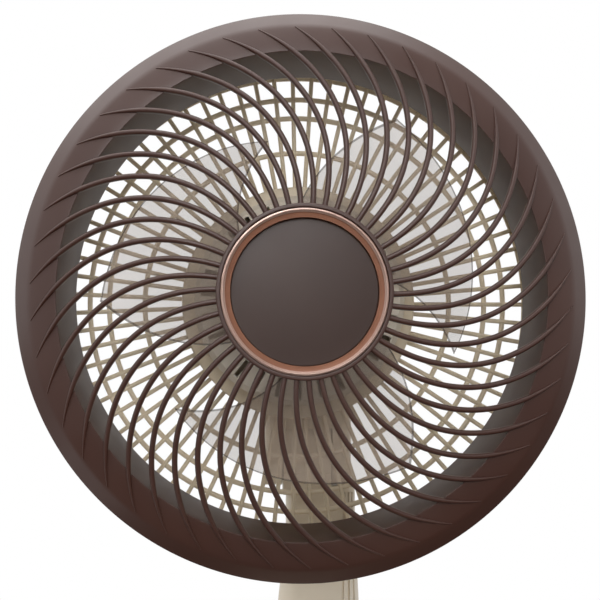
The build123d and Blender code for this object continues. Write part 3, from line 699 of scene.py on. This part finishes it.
blade = {
    "count": 3,
    "frontAngle": 97.0, "rootSpan": 76.0, "frontSlant": 35.0, "rearSlant": 40.0,  # degrees
    "tipRadius": 112.5, "cornerRadius": 97.0, "tipCurve": 0.8, "rootInside": 1.2,
    "frontRoot": -4.0, "rearRoot": -31.0, "frontTip": 6.0, "rearTip": -47.0, "pitchCurve": 1.15,
    "thick": 1.8, "edgeThick": 0.9, "sideRamp": 14.0, "tipRamp": 9.0,  # ramps to the full thickness
    "edgeLine": 0.7,  # width of the strip whose darker colour is painted edge shade
    "rows": 26, "columns": 56,
}
bladeHub = {
    "radius": 42.0, "wall": 2.2, "front": -2.0, "back": -34.0, "frontSoft": 3.5,
    "bore": 4.1, "bossRadius": 9.0, "bossBack": -28.0,
}


def bladePoint(across, along):
    # across runs from hub to tip, along from the front edge to the rear edge
    tipDrop = blade["cornerRadius"] - blade["tipRadius"]
    outer = blade["tipRadius"] + tipDrop * along ** blade["tipCurve"]
    root = bladeHub["radius"] - blade["rootInside"]
    radius = root + (outer - root) * across
    front = blade["frontAngle"] - blade["frontSlant"] * across
    rearEdge = blade["frontAngle"] - blade["rootSpan"] - blade["rearSlant"] * across
    angle = radians(front + (rearEdge - front) * along)
    high = blade["frontRoot"] + (blade["frontTip"] - blade["frontRoot"]) * across
    low = blade["rearRoot"] + (blade["rearTip"] - blade["rearRoot"]) * across
    height = high + (low - high) * along ** blade["pitchCurve"]
    return Vector((radius * cos(angle), radius * sin(angle), height))


def bladeFaces(across, along):
    # the points of both faces of the sheet, which thins towards its free edges
    step = 1e-3
    here = bladePoint(across, along)
    outward = bladePoint(min(across + step, 1), along) - bladePoint(max(across - step, 0), along)
    rearward = bladePoint(across, min(along + step, 1)) - bladePoint(across, max(along - step, 0))
    normal = rearward.cross(outward).normalized()
    inside = min(1, blade["sideRamp"] * min(along, 1 - along), blade["tipRamp"] * (1 - across))
    thick = blade["edgeThick"] + (blade["thick"] - blade["edgeThick"]) * sqrt(max(inside, 0))
    return here + normal * thick / 2, here - normal * thick / 2


def addBlade(mesh, angle):
    # the outermost strip is narrow, and carries the blade's darker colour, painted shade for the
    # dark look of a clear edge
    rows, columns = blade["rows"], blade["columns"]
    strip = blade["edgeLine"] / (blade["tipRadius"] - bladeHub["radius"])
    acrossAt = [(1 - strip) * i / (rows - 2) for i in range(rows - 1)] + [1.0]
    alongAt = [strip + (1 - 2 * strip) * j / (columns - 3) for j in range(columns - 2)]
    alongAt = [0.0, *alongAt, 1.0]
    sheets = ([], [])
    for across in acrossAt:
        pairs = [spun(bladeFaces(across, along), angle) for along in alongAt]
        for sheet, line in zip(sheets, zip(*pairs)):
            sheet.append([mesh.verts.new(point) for point in line])
    borders = []
    for sheet in sheets:
        for i in range(rows - 1):
            for j in range(columns - 1):
                corners = (sheet[i][j], sheet[i + 1][j], sheet[i + 1][j + 1], sheet[i][j + 1])
                face = mesh.faces.new(corners)
                face.material_index = int(i == rows - 2 or j in (0, columns - 2))
        border = [line[0] for line in sheet]
        border += sheet[-1][1:]
        border += [line[-1] for line in reversed(sheet[:-1])]
        border += sheet[0][-2:0:-1]
        borders.append(border)
    one, two = borders
    for k in range(len(one)):
        m = (k + 1) % len(one)
        face = mesh.faces.new((one[k], one[m], two[m], two[k]))
        face.material_index = 1


def buildBlades():
    mesh = bmesh.new()
    for n in range(blade["count"]):
        addBlade(mesh, tau * n / blade["count"])
    blades = makePiece(
        "propellerBlades", mesh, clear, "fan", ["propeller"], sharp=50)
    blades.data.materials.append(clearRimPaintedShade)


def buildBladeHub():
    radius, wall, bore = bladeHub["radius"], bladeHub["wall"], bladeHub["bore"]
    front, back = bladeHub["front"], bladeHub["back"]
    corners = [
        (bore, front - wall, 0.2),
        (bore, front, 0.3),
        (radius, front, bladeHub["frontSoft"]),
        (radius, back, 0.5),
        (radius - wall, back, 0.5),
        (radius - wall, front - wall, 2.0),
        (bladeHub["bossRadius"], front - wall, 0.5),
        (bladeHub["bossRadius"], bladeHub["bossBack"], 0.5),
        (bore, bladeHub["bossBack"], 0.2),
    ]
    turnedPiece("propellerHub", corners, clear, ["propeller"], steps=200, body="fan")


buildBlades()
buildBladeHub()
print("propeller built")


paper = {
    "colour": srgb(226, 225, 222), "bounce": srgb(70, 68, 66), "radius": 7.0,
    "fade": (0.7, 2.4), "behind": (0.3, 1.5),  # metres over which it turns to plain white
    "grainScale": 60.0, "rough": (0.7, 0.85), "gloss": 0.2,
}
sky = {
    "zenith": 1.9, "zenithPower": 5,
    "backdrop": (0.3, 0.8),  # how far back a reflection looks before it sees white
    "patches": [  # soft windows: the side they stand on, their height and strength
        {"axis": "X", "side": (-0.3, -1.0), "height": (-0.5, 0.3), "strength": 1.45},
        {"axis": "X", "side": (0.3, 1.0), "height": (-0.5, 0.3), "strength": 1.3},
        {"axis": "X", "side": (-0.1, -0.8), "height": (0.1, -0.5), "strength": 5.4},
        {"axis": "X", "side": (0.1, 0.8), "height": (0.1, -0.5), "strength": 1.1},
        {"axis": "Y", "side": (-0.2, -0.8), "height": (0.0, -0.4), "strength": 2.2},
    ],
}
lamps = {  # places in metres and powers in watts
    "keyLight": {"place": (-0.35, -0.1, 2.1), "size": 2.2, "power": 23.0, "diffuse": False},
    "fillLight": {"place": (-0.15, -1.42, 1.26), "size": 0.6, "power": 8.2},
    "washLight": {"place": (0.1, -1.9, 1.0), "size": 1.8, "power": 8.6, "glossy": False},
    "liftLight": {"place": (0.3, -1.3, 0.24), "size": 0.45, "power": 3.0, "glossy": False},
    "kickLight": {"place": (-0.72, -0.2, 0.2), "size": 0.4, "power": 0.45},
}
white = (1.0, 1.0, 1.0, 1.0)


def buildFloor():
    disc = bmesh.new()
    bmesh.ops.create_circle(disc, cap_ends=True, segments=96, radius=paper["radius"])
    data = bpy.data.meshes.new("floor")
    disc.to_mesh(data)
    disc.free()
    floor = bpy.data.objects.new("floor", data)
    scene.collection.objects.link(floor)
    material, start = newMaterial("paleFloor")
    place = start.node("TexCoord").out("Object")
    rays = start.node("LightPath")
    seen = rays.out("Is Camera Ray")
    sheet = start.node("BsdfPrincipled", {}, {
        "Base Color": seen.blend(paper["bounce"], paper["colour"]),
        "Roughness": place.noise(paper["grainScale"], detail=4.0).ranged(0.2, 0.8, *paper["rough"]),
        "Specular IOR Level": paper["gloss"],
    })
    light = start.node("Emission", {}, {"Color": white, "Strength": 1.0})
    far = place.length().ranged(*paper["fade"])
    behind = place.axis("Y").ranged(*paper["behind"])
    plain = far * seen + behind * rays.out("Is Glossy Ray")  # as the eye and the gloss see it
    mixed = start.node("MixShader", {}, {0: plain, 1: sheet, 2: light})
    start.node("OutputMaterial", {}, {"Surface": mixed})
    data.materials.append(material)


def buildWorld():
    world = bpy.data.worlds.new("studioWorld")
    scene.world = world
    world.use_nodes = True
    world.node_tree.nodes.clear()
    start = Wire(world.node_tree)
    rays = start.node("LightPath")
    seen = rays.out("Is Camera Ray").larger(rays.out("Is Transmission Ray"))
    way = start.node("TexCoord").out("Generated")
    up = way.axis("Z")
    glow = up.larger(0.0) ** sky["zenithPower"] * sky["zenith"]
    for patch in sky["patches"]:
        side = way.axis(patch["axis"]).ranged(*patch["side"])
        glow = glow + side * up.ranged(*patch["height"]) * patch["strength"]
    glow = glow.larger(rays.out("Is Glossy Ray") * way.axis("Y").ranged(*sky["backdrop"]))
    room = start.node("Background", {}, {"Color": white, "Strength": glow})
    plain = start.node("Background", {}, {"Color": white, "Strength": 1.0})
    mixed = start.node("MixShader", {}, {0: seen, 1: room, 2: plain})
    start.node("OutputWorld", {}, {"Surface": mixed})


def softbox(name, place, size, power, diffuse=True, glossy=True):
    # a round lamp aimed at the fan; some light only the plain colour, or only the gloss
    data = bpy.data.lights.new(name, "AREA")
    data.shape = "DISK"
    data.size = size
    data.energy = power
    lamp = bpy.data.objects.new(name, data)
    scene.collection.objects.link(lamp)
    lamp.location = place
    lamp.visible_camera = False
    lamp.visible_diffuse = diffuse
    lamp.visible_glossy = glossy
    lamp.rotation_mode = "QUATERNION"
    lamp.rotation_quaternion = (fanCentre - Vector(place)).to_track_quat("-Z", "Y")


buildFloor()
buildWorld()
for name, lamp in lamps.items():
    softbox(name, **lamp)


shot = {
    "distance": 0.8339, "slideRight": -0.00143, "slideUp": -0.00251,  # metres
    "yaw": 2.18, "pitch": 3.60,  # degrees to the right and up
    "focalPixels": 1488.4, "imagePixels": 600.0, "sensorWidth": 36.0, "nearest": 0.01,
}


def buildCamera():
    yaw = radians(shot["yaw"])
    pitch = radians(shot["pitch"])
    forward = Vector((cos(pitch) * sin(yaw), cos(pitch) * cos(yaw), sin(pitch)))
    right = forward.cross(Vector((0, 0, 1))).normalized()
    up = right.cross(forward)
    data = bpy.data.cameras.new("camera")
    data.sensor_width = shot["sensorWidth"]
    data.lens = data.sensor_width * shot["focalPixels"] / shot["imagePixels"]
    data.clip_start = shot["nearest"]
    camera = bpy.data.objects.new("camera", data)
    scene.collection.objects.link(camera)
    slide = right * shot["slideRight"] + up * shot["slideUp"]
    camera.location = fanCentre - forward * shot["distance"] + slide
    camera.rotation_mode = "QUATERNION"
    camera.rotation_quaternion = forward.to_track_quat("-Z", "Y")
    scene.camera = camera


buildCamera()
scene.view_settings.view_transform = "Standard"
print("studio set")
